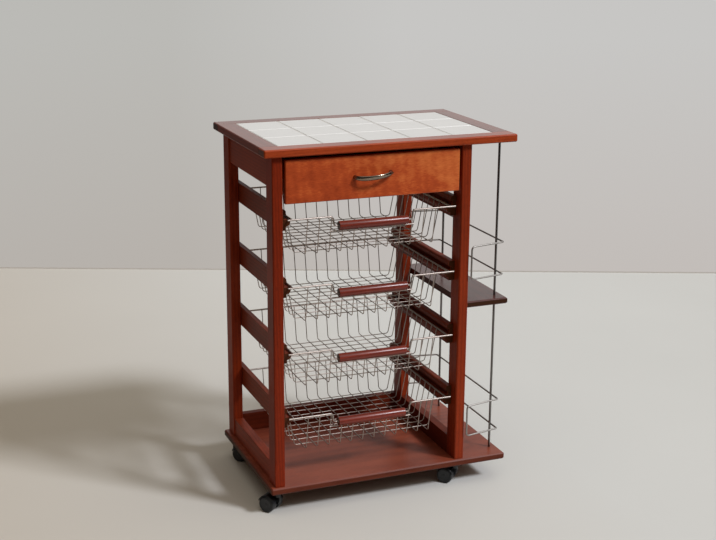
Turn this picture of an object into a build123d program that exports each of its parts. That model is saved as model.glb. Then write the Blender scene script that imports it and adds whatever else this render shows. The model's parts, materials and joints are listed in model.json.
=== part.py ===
from build123d import *
import math
import os

os.makedirs("parts", exist_ok=True)

# Kitchen trolley on castors. Millimetres, +X to the right, -Y to the front, +Z up.
# The origin lies on the floor, under the middle of the worktop.

# Worktop
total_height = 845.0
top_thick = 18.0
top_ease = 2.5
rail_width = 40.5
stile_width = 42.5
rebate_width = 8.0
tile_columns = 5
tile_rows = 3
tile_size = 100.0
tile_thick = 6.0
tile_ease = 1.0
tile_joint = 3.0
border_joint = 1.5
grout_depth = 0.8
bed_thick = 1.5

# Posts, rails and base board
post_width = 24.0
post_depth = 44.0
post_ease = 2.0
post_left_inset = 20.5
post_front_inset = 12.0
bay_width = 424.0
apron_height = 70.0
apron_setback = 3.0
bottom_rail_height = 46.0
back_apron_thick = 18.0
base_thick = 16.0
base_left_inset = 10.0
base_side_inset = 5.0
base_ease = 3.0
castor_height = 52.0

# Basket runners
runner_count = 4
runner_low = 148.5
runner_drawer_gap = 37.0
runner_height = 46.5
runner_thick = 15.0
runner_round = 6.0
runner_front_setback = 25.0
runner_back_setback = 3.0
ledge_height = 24.0
lip_reach = 10.0
lip_nose = 1.5
lip_foot = 8.0
groove_height = 10.0
groove_depth = 5.0

# Wire baskets
basket_gap = 0.3
rim_wire = 4.0
grid_wire = 2.0
cross_bar_wire = 3.0
rim_inset = 8.0
rim_step = 10.0
rim_step_length = 15.0
rim_corner = 12.0
weld_rise = 1.0
basket_front_setback = 5.0
basket_back_setback = 19.0
basket_depth = 85.0
wall_slope = 17.0
floor_bend = 10.0
long_wires = 12
long_pitch = 27.8
side_wires = 10
side_pitch = 27.8
side_shift = 8.5
bar_overhang = 11.0
grip_end_gap = 12.0
dip_depth = 21.0
dip_bend = 8.0
cross_bar_drop = 34.0
grip_length = 165.0
grip_radius = 10.0
grip_clearance = 0.1

# Drawer
front_gap = 6.0
front_top_gap = 9.0
front_height = 95.5
front_thick = 18.0
front_ease = 1.5
box_clearance = 12.5
box_wall = 12.0
box_height = 60.0
box_back_gap = 27.0
box_top_gap = 24.0
bottom_thick = 4.0
bottom_lift = 8.0
bottom_groove = 6.0
slide_sheet = 1.2
slide_height = 31.0
slide_depth = 9.5
slide_gap = 0.3
slide_start = 2.5
slide_flange = 10.0
slide_wing_drop = 4.3
roller_radius = 6.5
roller_width = 6.8
roller_inset = 10.0
pull_span = 84.0
pull_shift = -4.5
pull_lift = 4.0
pull_slant = 3.0
pull_sag = 3.0
pull_reach = 25.0
pull_foot = 8.5
pull_thick = 6.0
pull_wide = 12.0
pull_twist = 30.0
pull_steps = 8
pull_screw_radius = 2.0
pull_screw_head = 4.0
pull_screw_head_thick = 2.5
pull_screw_bite = 12.0

# Side bay
shelf_height = 455.0
shelf_thick = 15.0
shelf_front_inset = 20.0
rod_radius = 2.75
rod_side_inset = 18.5
rod_front_inset = 51.6
rod_bite = 8.0
rod_clearance = 0.1
gallery_wire = 4.0
gallery_side_inset = 24.0
gallery_corner = 6.0
gallery_flare = 17.0
gallery_post_gap = 4.0
shelf_gallery_low = 57.5
shelf_gallery_rise = 76.5
base_gallery_low = 58.0
base_gallery_rise = 74.5

# Castors
wheel_radius = 19.0
wheel_width = 17.0
wheel_round = 3.0
castor_trail = 18.0
web_thick = 8.0
web_radius = 15.0
web_gap = 1.0
hood_gap = 1.2
hood_wall = 1.8
hood_low = 7.0
hood_sides = 20
axle_radius = 3.0
axle_clearance = 0.05
stem_radius = 4.0
stem_length = 30.0
stem_clearance = 0.06
pin_sides = 12
collar_radius = 8.0
collar_gap = 0.3
socket_wall = 1.5
socket_flange_radius = 11.0
socket_flange = 1.5
socket_depth = 38.0
front_left_angle = 128.0
front_right_angle = 135.0
back_left_angle = 315.0
back_right_angle = 120.0

# Places worked out from the sizes above
field_width = tile_columns * tile_size + (tile_columns - 1) * tile_joint + 2 * border_joint
field_depth = tile_rows * tile_size + (tile_rows - 1) * tile_joint + 2 * border_joint
opening_half = field_width / 2
rail_inner = field_depth / 2
half_width = opening_half + stile_width
half_depth = rail_inner + rail_width
top_under = total_height - top_thick
bed_under = total_height - tile_thick - bed_thick
base_top = castor_height + base_thick
base_left = -half_width + base_left_inset
base_half_depth = half_depth - base_side_inset
post_front = -half_depth + post_front_inset
post_back = -post_front
post_inner_front = post_front + post_depth
left_outer = -half_width + post_left_inset
left_inner = left_outer + post_width
right_inner = left_inner + bay_width
right_outer = right_inner + post_width
back_apron_back = post_back - apron_setback
back_apron_front = back_apron_back - back_apron_thick
box_length = back_apron_front - box_back_gap - post_front - front_thick
box_top = top_under - box_top_gap
box_low = box_top - box_height
lowest_runner = castor_height + runner_low
highest_runner = box_low - runner_drawer_gap - runner_height
runner_pitch = (highest_runner - lowest_runner) / (runner_count - 1)
pull_height = top_under - front_top_gap - front_height / 2 + pull_lift
dip_half_width = grip_length / 2 + grip_end_gap
gallery_wire_x = half_width - rod_side_inset + rod_radius + gallery_wire / 2
gallery_end_x = right_outer + gallery_post_gap
gallery_side_y = half_depth - gallery_side_inset
bay_middle = (left_inner + right_inner) / 2
pull_x = bay_middle + pull_shift
post_x = {"left": (left_outer, left_inner), "right": (right_inner, right_outer)}
side_sign = {"left": 1, "right": -1}
inner_face = {"left": left_inner, "right": right_inner}
outer_face = {"left": left_outer, "right": right_outer}


def block(x0, x1, y0, y1, z0, z1):
    solid = Box(x1 - x0, y1 - y0, z1 - z0)
    return Pos((x0 + x1) / 2, (y0 + y1) / 2, (z0 + z1) / 2) * solid


def along_y(profile, y0, y1):
    # A profile drawn in x and z, run from y0 to y1
    return Pos(0, y1, 0) * extrude(Plane.XZ * profile, y1 - y0)


def tube_x(radius, x0, x1, y, z):
    # A cylinder that lies along x
    axis = Plane(origin=(x0, y, z), z_dir=(1, 0, 0))
    return extrude(axis * Circle(radius), x1 - x0)


def upright(radius, x, y, z0, z1):
    return extrude(Plane.XY.offset(z0) * Pos(x, y) * Circle(radius), z1 - z0)


def wire(points, across, flat_to_flat, sides):
    # A wire of regular section with flats square to the direction "across"
    path = Polyline(*points)
    start = Plane(origin=path @ 0, x_dir=across, z_dir=path % 0)
    radius = flat_to_flat / 2 / math.cos(math.pi / sides)
    section = start * RegularPolygon(radius, sides, rotation=180 / sides)
    return sweep(section, path=path, transition=Transition.RIGHT)


def save(name, *solids):
    shapes = [solid for item in solids for solid in item.solids()]
    shape = shapes[0] if len(shapes) == 1 else Compound(children=shapes)
    export_step(shape, "parts/" + name + ".step")


# Worktop frame: one eased slab, parted into two full-width rails and two stiles
def worktop():
    slab = block(-half_width, half_width, -half_depth, half_depth, top_under, total_height)
    slab = chamfer(slab.edges(), top_ease)
    slab -= block(-opening_half, opening_half, -rail_inner, rail_inner, top_under, total_height)
    rebate_x = opening_half + rebate_width
    rebate_y = rail_inner + rebate_width
    slab -= block(-rebate_x, rebate_x, -rebate_y, rebate_y, top_under, bed_under)
    for x, y in rod_places():
        slab -= rod_hole(x, y, top_under, top_under + rod_bite)
    wide, deep, inner = half_width, half_depth, rail_inner
    cuts = {
        "top_front_rail": block(-wide, wide, -deep, -inner, top_under, total_height),
        "top_back_rail": block(-wide, wide, inner, deep, top_under, total_height),
        "top_left_stile": block(-wide, 0, -inner, inner, top_under, total_height),
        "top_right_stile": block(0, wide, -inner, inner, top_under, total_height),
    }
    for name, region in cuts.items():
        save(name, slab & region)
    save("top_panel", block(-rebate_x, rebate_x, -rebate_y, rebate_y, top_under, bed_under))
    tile_worktop()


# Tiles sit in pockets of one bed, whose ridges are the joints
def tile_worktop():
    bed_top = total_height - grout_depth
    bed = block(-opening_half, opening_half, -rail_inner, rail_inner, bed_under, bed_top)
    tile_low = bed_under + bed_thick
    pitch = tile_size + tile_joint
    tiles = []
    for column in range(tile_columns):
        for row in range(tile_rows):
            x = (column - (tile_columns - 1) / 2) * pitch
            y = (row - (tile_rows - 1) / 2) * pitch
            half = tile_size / 2
            tile = block(x - half, x + half, y - half, y + half, tile_low, total_height)
            bed -= tile
            rim = tile.faces().sort_by(Axis.Z)[-1].edges()
            tiles.append(chamfer(rim, tile_ease))
    save("grout_bed", bed)
    save("tiles", *tiles)


# Posts stand on the base board and carry the worktop
def posts():
    for side, (x0, x1) in post_x.items():
        for end, sign in (("front", 1), ("back", -1)):
            y0, y1 = sorted((sign * post_front, sign * post_inner_front))
            post = block(x0, x1, y0, y1, base_top, top_under)
            post = chamfer(post.edges().filter_by(Axis.Z), post_ease)
            x, y = (x0 + x1) / 2, (y0 + y1) / 2
            post -= sleeve(x, y, base_top, castor_height + socket_depth)
            save(end + "_" + side + "_post", post)


# The eight-sided outside of a castor socket, which its holes share
def sleeve(x, y, z0, z1):
    outer = RegularPolygon(stem_radius + stem_clearance + socket_wall, 8, major_radius=False)
    return extrude(Plane.XY.offset(z0) * Pos(x, y) * outer, z1 - z0)


def post_centres():
    places = {}
    for side, (x0, x1) in post_x.items():
        for end, sign in (("front", 1), ("back", -1)):
            places[end + "_" + side] = ((x0 + x1) / 2, sign * (post_front + post_depth / 2))
    return places


# Rails that tie the posts together, flush with their inner faces
def rails():
    span = -post_inner_front
    for side, sign in side_sign.items():
        x0, x1 = sorted((outer_face[side] + sign * apron_setback, inner_face[side]))
        save(side + "_apron", block(x0, x1, -span, span, top_under - apron_height, top_under))
        rail_top = base_top + bottom_rail_height
        save(side + "_bottom_rail", block(x0, x1, -span, span, base_top, rail_top))
    y0, y1 = back_apron_front, back_apron_back
    low = top_under - apron_height
    save("back_apron", block(left_inner, right_inner, y0, y1, low, top_under))


def runner_bottoms():
    return [lowest_runner + runner_pitch * step for step in range(runner_count)]


# A runner's section: rounded lip under a ledge, a groove above it, a rounded top corner
def runner_section():
    face = runner_thick
    lip = face + lip_reach
    ledge = ledge_height
    groove_back = face - groove_depth
    groove_top = ledge + groove_height
    top = runner_height
    outline = [
        Line((0, 0), (face, 0)),
        Line((face, 0), (face, lip_foot)),
        CenterArc((face, lip_foot + lip_reach), lip_reach, -90, 90),
        Line((lip, lip_foot + lip_reach), (lip, ledge - lip_nose)),
        RadiusArc((lip, ledge - lip_nose), (lip - lip_nose, ledge), -lip_nose),
        Line((lip - lip_nose, ledge), (groove_back, ledge)),
        Line((groove_back, ledge), (groove_back, groove_top)),
        Line((groove_back, groove_top), (face, groove_top)),
        Line((face, groove_top), (face, top - runner_round)),
        RadiusArc((face, top - runner_round), (face - runner_round, top), -runner_round),
        Line((face - runner_round, top), (0, top)),
        Line((0, top), (0, 0)),
    ]
    return make_face(Curve() + outline)


def runners():
    front = post_front + runner_front_setback
    back = post_back - runner_back_setback
    bar = along_y(runner_section(), front, back)
    turned = mirror(bar, about=Plane.YZ)
    for number, low in enumerate(reversed(runner_bottoms()), start=1):
        save("left_runner_%d" % number, Pos(left_inner, 0, low) * bar)
        save("right_runner_%d" % number, Pos(right_inner, 0, low) * turned)


# One wire basket about x = 0 with its rim wires at height 0
def basket_wires():
    rim_x = bay_width / 2 - runner_thick - rim_inset
    front = post_front + basket_front_setback
    back = post_back - basket_back_setback
    floor = -basket_depth
    rim = rim_loop(rim_x, front, back)
    bar = front_bar(rim_x, front)
    wires = [rim, bar]

    wall_x = rim_x - rim_wire / 2
    wall_front = front + rim_wire / 2
    wall_back = back - rim_wire / 2
    for x in long_wire_xs():
        cut = 0 if abs(x) > dip_half_width else cross_bar_drop - cross_bar_wire / 2
        wires.append(long_wire(x, wall_front, wall_back, floor, cut))
    middle = (wall_front + wall_back) / 2 + side_shift
    for number in range(side_wires):
        y = middle + (number - (side_wires - 1) / 2) * side_pitch
        wires.append(side_wire(y, wall_x, floor - grid_wire))
    wires.append(cross_bar(wall_front))
    return wires


# Sides and back of the rim are one wire; it steps out into the groove near the back
def rim_loop(rim_x, front, back):
    out = rim_x + rim_step
    turn = rim_corner * (1 - math.cos(math.pi / 4))
    step_end = back - 2 * rim_corner
    step_start = step_end - rim_step_length
    right = [
        (rim_x, front + rim_wire / 2),
        (rim_x, step_start),
        (out, step_end),
        (out, back - rim_corner),
        (out - turn, back - turn),
        (out - rim_corner, back),
    ]
    left = [(-x, y) for x, y in reversed(right)]
    return wire([(x, y, 0) for x, y in right + left], (1, 0, 0), rim_wire, 6)


# The front bar overhangs the rim at both ends and dips in the middle for the grip
def front_bar(rim_x, front):
    end = rim_x + bar_overhang
    bend = dip_bend
    half = dip_half_width
    right = [
        (end, 0),
        (half + bend, 0),
        (half, -bend),
        (half, -dip_depth + bend),
        (half - bend, -dip_depth),
    ]
    left = [(-x, z) for x, z in reversed(right)]
    return wire([(x, front, z) for x, z in right + left], (0, 1, 0), rim_wire, 6)


def wall_inset():
    # Share of the wall's slope that is left where the bend into the floor starts
    return wall_slope * (basket_depth - floor_bend) / basket_depth


# Front wall, floor and back wall in one wire
def long_wire(x, front, back, floor, cut):
    half = grid_wire / 2
    slope = wall_slope / basket_depth
    top = weld_rise - cut
    points = [
        (front + half + slope * cut, top),
        (front + half + wall_inset(), floor + floor_bend),
        (front + half + wall_slope + floor_bend / 2, floor),
        (back - half - wall_slope - floor_bend / 2, floor),
        (back - half - wall_inset(), floor + floor_bend),
        (back - half, weld_rise),
    ]
    return wire([(x, y, z) for y, z in points], (1, 0, 0), grid_wire, 4)


# Side wall, floor and side wall in one wire
def side_wire(y, wall_x, floor):
    half = grid_wire / 2
    right = [
        (wall_x - half, weld_rise),
        (wall_x - half - wall_inset(), floor + floor_bend),
        (wall_x - half - wall_slope - floor_bend / 2, floor),
    ]
    left = [(-x, z) for x, z in reversed(right)]
    return wire([(x, y, z) for x, z in right + left], (0, 1, 0), grid_wire, 4)


def long_wire_xs():
    return [(number - (long_wires - 1) / 2) * long_pitch for number in range(long_wires)]


# The cross bar ties the cut front wires to the next whole ones, behind and below the grip
def cross_bar(front):
    whole = [x for x in long_wire_xs() if x > dip_half_width]
    end = min(whole, default=max(long_wire_xs())) + cross_bar_wire
    slope = wall_slope / basket_depth
    y = front + slope * cross_bar_drop - cross_bar_wire / 2
    line = [(-end, y, -cross_bar_drop), (end, y, -cross_bar_drop)]
    return wire(line, (0, 1, 0), cross_bar_wire, 4)


def grip():
    # The bore follows the six-sided wire
    half = grip_length / 2
    end = Plane(origin=(-half, 0, 0), x_dir=(0, 1, 0), z_dir=(1, 0, 0))
    bore = RegularPolygon(rim_wire / 2 + grip_clearance, 6, major_radius=False, rotation=30)
    return extrude(end * (Circle(grip_radius) - bore), grip_length)


def baskets():
    wires = basket_wires()
    handle = grip()
    lift = ledge_height + basket_gap + rim_wire / 2 / math.cos(math.pi / 6)
    front = post_front + basket_front_setback
    for number, low in enumerate(reversed(runner_bottoms()), start=1):
        place = Pos(bay_middle, 0, low + lift)
        save("basket_%d" % number, *[place * item for item in wires])
        seat = Pos(bay_middle, front, low + lift - dip_depth)
        save("basket_%d_grip" % number, seat * handle)


# Drawer front and box
def drawer():
    z1 = top_under - front_top_gap
    z0 = z1 - front_height
    y0 = post_front
    y1 = y0 + front_thick
    front = block(left_inner + front_gap, right_inner - front_gap, y0, y1, z0, z1)
    front = chamfer(front.faces().sort_by(Axis.Y)[0].edges(), front_ease)

    x0 = left_inner + box_clearance
    x1 = right_inner - box_clearance
    end = y1 + box_length
    floor_low = box_low + bottom_lift
    floor_high = floor_low + bottom_thick
    groove_x0 = x0 + box_wall - bottom_groove
    groove_x1 = x1 - box_wall + bottom_groove
    groove = block(groove_x0, groove_x1, y1 - bottom_groove, end, floor_low, floor_high)
    for x, z in pull_feet():
        front -= screw_bore(x, z, y0, y1)
    save("drawer_front", front - groove)
    save("drawer_left_side", block(x0, x0 + box_wall, y1, end, box_low, box_top) - groove)
    save("drawer_right_side", block(x1 - box_wall, x1, y1, end, box_low, box_top) - groove)
    back_front = end - box_wall
    back = block(x0 + box_wall, x1 - box_wall, back_front, end, floor_high, box_top)
    save("drawer_back", back)
    save("drawer_bottom", groove)
    slides(y1)
    pull(y0, y1)


# Roller slides: a channel on the carcase, an angle under the box, one roller on each
def slides(front_back):
    start = front_back + slide_start
    end = front_back + box_length
    low = box_low - slide_sheet
    channel_low = low + slide_gap
    sheet = slide_sheet
    leg = box_clearance - sheet
    wing_top = channel_low + slide_height - sheet - slide_wing_drop
    wing_low = wing_top - sheet
    channel = block(0, sheet, start, end, channel_low, channel_low + slide_height)
    channel += block(0, slide_depth, start, end, channel_low, channel_low + sheet)
    channel_top = channel_low + slide_height
    channel += block(0, slide_depth, start, end, channel_top - sheet, channel_top)
    wing_start = leg - roller_width
    angle = block(leg, box_clearance, front_back, end, low, wing_top)
    angle += block(leg, box_clearance + slide_flange, front_back, end, low, box_low)
    angle += block(wing_start, box_clearance, front_back, end, wing_low, wing_top)
    front_y = start + roller_inset
    front_z = wing_low - slide_gap - roller_radius
    back_y = end - roller_inset
    back_z = channel_low + sheet + slide_gap + roller_radius
    front_roller = tube_x(roller_radius, sheet, sheet + roller_width, front_y, front_z)
    back_roller = tube_x(roller_radius, leg - roller_width, leg, back_y, back_z)
    for side, x in inner_face.items():
        place = Pos(x, 0, 0)
        cabinet, drawer_rail = [channel, front_roller], [angle, back_roller]
        if side == "right":
            cabinet = [mirror(item, about=Plane.YZ) for item in cabinet]
            drawer_rail = [mirror(item, about=Plane.YZ) for item in drawer_rail]
        save(side + "_cabinet_slide", *[place * item for item in cabinet])
        save(side + "_drawer_slide", *[place * item for item in drawer_rail])


def pull_feet():
    half = pull_span / 2
    return ((pull_x - half, pull_height - pull_slant), (pull_x + half, pull_height + pull_slant))


def screw_bore(x, z, y0, y1):
    axis = Plane(origin=(x, y0, z), z_dir=(0, 1, 0))
    return extrude(axis * RegularPolygon(pull_screw_radius, 6), y1 - y0)


# Bow pull: oval sections along a slanted arch, wider and turned in the middle, and two screws
def pull(y0, y1):
    sections = [pull_section(math.pi * step / pull_steps, y0) for step in range(pull_steps + 1)]
    bow = loft(sections, ruled=True)
    screws = []
    for x, z in pull_feet():
        shank = screw_bore(x, z, y0 - pull_screw_bite, y1)
        head_plane = Plane(origin=(x, y1, z), z_dir=(0, 1, 0))
        head = RegularPolygon(pull_screw_head, 12)
        screws.append(shank + extrude(head_plane * head, pull_screw_head_thick))
        bow -= shank
    save("drawer_pull", bow)
    save("pull_screws", *screws)


# The upright section at one angle of the arch, which hangs a little in the middle
def pull_section(angle, face):
    swell = math.sin(angle)
    x = pull_x - pull_span / 2 * math.cos(angle)
    y = face - (pull_reach - pull_thick / 2) * swell
    z = pull_height - pull_slant * math.cos(angle) - pull_sag * swell
    along = (pull_span / 2 * math.sin(angle), -(pull_reach - pull_thick / 2) * math.cos(angle), 0)
    plane = Plane(origin=(x, y, z), x_dir=(0, 0, 1), z_dir=along)
    plane = plane.rotated((0, 0, pull_twist * swell))
    half_wide = (pull_foot + (pull_wide - pull_foot) * swell) / 2
    half_thick = (pull_foot + (pull_thick - pull_foot) * swell) / 2
    outline = scale(RegularPolygon(1, 8), by=(half_wide, half_thick, 1))
    return plane * outline


# A blind eight-sided hole that a rod's end is pushed into
def rod_hole(x, y, z0, z1):
    outline = RegularPolygon(rod_radius + rod_clearance, 8, major_radius=False)
    return extrude(Plane.XY.offset(z0) * Pos(x, y) * outline, z1 - z0)


# Side bay: shelf, two rods from the base board to the worktop, and two wire galleries
def rod_places():
    x = half_width - rod_side_inset
    y = half_depth - rod_front_inset
    return ((x, -y), (x, y))


def gallery(low, rise):
    cut = gallery_corner
    wire_x, y = gallery_wire_x, gallery_side_y
    end = (gallery_end_x, -y - gallery_flare)
    share = cut / (gallery_wire_x - gallery_end_x)
    front = [end, (wire_x - cut, -y - gallery_flare * share), (wire_x, -y + cut)]
    back = [(x, -y) for x, y in reversed(front)]
    runs = []
    for z in (low, low + rise):
        line = [(x, y, z) for x, y in front + back]
        runs.append(wire(line, (1, 0, 0), gallery_wire, 6))
    frame = runs[0] + runs[1]
    for sign in (1, -1):
        post = [(end[0], sign * end[1], low), (end[0], sign * end[1], low + rise)]
        frame += wire(post, (1, 0, 0), gallery_wire, 6)
    return frame


def side_bay():
    y = half_depth - shelf_front_inset
    low = shelf_height - shelf_thick
    shelf = block(right_outer, half_width, -y, y, low, shelf_height)
    free_end = shelf.faces().sort_by(Axis.X)[-1].edges()
    shelf = chamfer(shelf.edges().filter_by(Axis.X) + free_end.filter_by(Axis.Y), base_ease)
    for x, rod_y in rod_places():
        shelf -= upright(rod_radius + rod_clearance, x, rod_y, low, shelf_height)
    save("side_shelf", shelf)
    for name, (x, rod_y) in zip(("front_rod", "back_rod"), rod_places()):
        rod = upright(rod_radius, x, rod_y, base_top - rod_bite, top_under + rod_bite)
        save(name, rod)
    save("shelf_gallery", gallery(shelf_height + shelf_gallery_low, shelf_gallery_rise))
    save("base_gallery", gallery(base_top + base_gallery_low, base_gallery_rise))


def base_board():
    y = base_half_depth
    board = block(base_left, half_width, -y, y, castor_height, base_top)
    board = chamfer(board.edges(), base_ease)
    for x, rod_y in rod_places():
        board -= rod_hole(x, rod_y, base_top - rod_bite, base_top)
    for x, post_y in post_centres().values():
        board -= sleeve(x, post_y, castor_height, base_top)
    save("base_board", board)


# Castors: a flanged socket, a housing that swivels in it, and twin wheels on one axle
def socket():
    low = castor_height - socket_flange
    high = castor_height + socket_depth
    flange = extrude(Plane.XY.offset(low) * RegularPolygon(socket_flange_radius, 8), socket_flange)
    outer = sleeve(0, 0, castor_height, high) + flange
    bore = RegularPolygon(stem_radius + stem_clearance, pin_sides, major_radius=False)
    return outer - extrude(Plane.XY.offset(low) * bore, high - low)


# A web between the wheels, a hood over them and a collar with the stem
def castor_housing():
    half = web_thick / 2
    crown = wheel_radius + hood_gap
    shell = crown + hood_wall
    wide = half + web_gap + wheel_width
    top = castor_height - socket_flange - collar_gap
    web_face = Plane(origin=(castor_trail, half, wheel_radius), x_dir=(1, 0, 0), z_dir=(0, -1, 0))
    side_face = Plane(origin=(castor_trail, wide, wheel_radius), x_dir=(1, 0, 0), z_dir=(0, -1, 0))
    upper = Pos(0, hood_low + shell / 2) * Rectangle(2 * shell, shell)
    neck = Pos(-castor_trail / 2, shell / 2) * Rectangle(castor_trail, shell)
    inside = RegularPolygon(crown, hood_sides, major_radius=False)
    outside = RegularPolygon(shell, hood_sides, major_radius=False)
    web = RegularPolygon(web_radius, hood_sides) + (inside & upper) + neck
    body = extrude(web_face * web, web_thick)
    body += extrude(side_face * ((outside - inside) & upper), 2 * wide)
    collar_low = wheel_radius + math.sqrt(crown**2 - (castor_trail - collar_radius) ** 2)
    collar = RegularPolygon(collar_radius, hood_sides)
    body += extrude(Plane.XY.offset(collar_low) * collar, top - collar_low)
    body += extrude(Plane.XY.offset(top) * RegularPolygon(stem_radius, pin_sides), stem_length)
    bore = RegularPolygon(axle_radius + axle_clearance, pin_sides, major_radius=False)
    return body - extrude(web_face * bore, web_thick)


# Two wheels joined by the axle stub that turns in the web
def castor_wheels():
    inner = web_thick / 2 + web_gap
    side = Plane(origin=(castor_trail, -inner, wheel_radius), z_dir=(0, -1, 0))
    wheel = extrude(side * Circle(wheel_radius), wheel_width)
    wheel = chamfer(wheel.faces().sort_by(Axis.Y)[0].edges(), wheel_round)
    other = mirror(wheel, about=Plane.XZ)
    axle = extrude(side * RegularPolygon(axle_radius, pin_sides), -2 * inner)
    return [wheel, other, axle]


def castors():
    angles = {
        "front_left": front_left_angle,
        "front_right": front_right_angle,
        "back_left": back_left_angle,
        "back_right": back_right_angle,
    }
    cup = socket()
    housing = castor_housing()
    wheels = castor_wheels()
    cups = []
    for name, (x, y) in post_centres().items():
        cups.append(Pos(x, y, 0) * cup)
        place = Pos(x, y, 0) * Rot(0, 0, angles[name])
        save(name + "_castor_housing", place * housing)
        save(name + "_castor_wheels", *[place * item for item in wheels])
    save("castor_sockets", *cups)


worktop()
posts()
rails()
runners()
base_board()
side_bay()
drawer()
baskets()
castors()
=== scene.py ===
import json
import math

import bmesh
import bpy
from mathutils import Matrix, Vector

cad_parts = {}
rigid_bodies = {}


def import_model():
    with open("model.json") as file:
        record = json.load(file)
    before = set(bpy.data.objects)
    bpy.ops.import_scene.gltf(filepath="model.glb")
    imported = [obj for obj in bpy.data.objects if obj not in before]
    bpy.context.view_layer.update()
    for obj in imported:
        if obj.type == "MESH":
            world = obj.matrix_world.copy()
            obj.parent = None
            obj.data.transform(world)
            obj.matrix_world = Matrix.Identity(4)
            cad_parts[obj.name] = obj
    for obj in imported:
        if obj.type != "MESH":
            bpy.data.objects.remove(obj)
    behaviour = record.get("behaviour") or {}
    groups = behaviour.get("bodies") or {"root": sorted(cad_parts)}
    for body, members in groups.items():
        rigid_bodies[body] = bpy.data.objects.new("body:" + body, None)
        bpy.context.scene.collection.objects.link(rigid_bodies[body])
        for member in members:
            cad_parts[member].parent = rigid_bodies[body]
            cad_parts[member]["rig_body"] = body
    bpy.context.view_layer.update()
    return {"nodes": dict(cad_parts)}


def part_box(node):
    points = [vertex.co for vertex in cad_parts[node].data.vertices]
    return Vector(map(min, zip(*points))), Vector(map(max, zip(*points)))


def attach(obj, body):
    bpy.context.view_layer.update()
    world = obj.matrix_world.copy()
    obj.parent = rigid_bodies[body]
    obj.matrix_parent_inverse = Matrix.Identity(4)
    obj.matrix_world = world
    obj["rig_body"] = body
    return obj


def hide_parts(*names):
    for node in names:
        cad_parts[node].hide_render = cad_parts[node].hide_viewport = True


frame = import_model()
mm = 0.001  # sizes below are in millimetres, Blender works in metres
print("frame loaded, %d CAD nodes" % len(frame["nodes"]))


# sRGB hex to the linear colour that shaders and lamps expect
def linear(hexColour):
    channels = [int(hexColour[i:i + 2], 16) / 255 for i in (1, 3, 5)]
    return [c / 12.92 if c <= 0.04045 else ((c + 0.055) / 1.055) ** 2.4 for c in channels] + [1.0]


# One node with its inputs (a socket is linked, anything else is set) and settings; gives an output
def addNode(tree, kind, inputs=None, settings=None, output=0):
    node = tree.nodes.new(kind)
    for name, value in (settings or {}).items():
        setattr(node, name, value)
    for name, value in (inputs or {}).items():
        if isinstance(value, bpy.types.NodeSocket):
            tree.links.new(value, node.inputs[name])
        else:
            node.inputs[name].default_value = value
    return node.outputs[output] if node.outputs else None


def newMaterial(name):
    material = bpy.data.materials.new(name)
    material.use_nodes = True
    material.node_tree.nodes.clear()
    return material, material.node_tree


# Feature size in millimetres to a texture scale
def perSize(size):
    return 1 / (size * mm)


# Camera: placed from a fit to the picture's own corners, in millimetres and degrees
cameraView = {
    "place": (-1143.1, -2815.1, 1362.15),
    "azimuth": -21.961,
    "elevation": 15.759,
    "roll": 0.4,
    "lens": 66.956,
    "sensor": 36.0,
}


def makeCamera(view):
    azimuth, elevation, roll = (math.radians(view[k]) for k in ("azimuth", "elevation", "roll"))
    sinA, cosA, sinE, cosE = math.sin(azimuth), math.cos(azimuth), math.sin(elevation), math.cos(elevation)
    back = Vector((sinA * cosE, -cosA * cosE, sinE))
    flatRight = Vector((cosA, sinA, 0))
    flatUp = back.cross(flatRight)
    right = flatRight * math.cos(roll) + flatUp * math.sin(roll)
    up = flatUp * math.cos(roll) - flatRight * math.sin(roll)
    data = bpy.data.cameras.new("photoCamera")
    data.lens, data.sensor_width, data.sensor_fit = view["lens"], view["sensor"], "HORIZONTAL"
    data.clip_start, data.clip_end = 0.05, 60
    camera = bpy.data.objects.new("photoCamera", data)
    bpy.context.scene.collection.objects.link(camera)
    turn = Matrix((right, up, back)).transposed().to_4x4()
    camera.matrix_world = Matrix.Translation(Vector(view["place"]) * mm) @ turn
    bpy.context.scene.camera = camera


# Studio: pale floor that ends at the backdrop line, painted darker to the left as shade, one large soft lamp from the
# front right, even fill
studio = {
    # the floor darkens to the left: painted shade standing in for light falling off
    "floorColours": ("#c5bfb4", "#d5d7d4"),  # left and right end of the paper
    "floorSpan": (-900.0, 500.0),
    # the backdrop darkens to the left: painted shade standing in for light falling off
    "wallColours": ("#bbbab6", "#c7c6c4"),  # left and right end of the backdrop
    # painted warm shade on the foot of the backdrop, where the floor meets it
    "lowTint": "#f9f3f0",          # the floor's warm shade on the foot of the backdrop
    "roomColour": "#383532",       # unlit room, seen only in reflections
    "brightSide": (0.5, 0.86, 0.0),  # towards the lit part of the backdrop
    "fillColour": "#ffe2c2",
    "fillStrength": 0.12,
    "floorBack": 1775.0,           # from the trolley to the backdrop
    "gapHeight": 5.0,
    "gapColour": "#cdc8c1",
    "floorFront": 1500.0,
    "floorSide": 2600.0,
    "lamps": {                     # direction, how wide it looks from the trolley in degrees, strength, colour
        "softbox": ((0.43, -0.46, 0.6), 10.0, 2.35, "#f3f6ff"),
        "overheadScreen": ((0.2, -0.3, 1.0), 85.0, 1.2, "#fff8ec"),
    },
}


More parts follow.
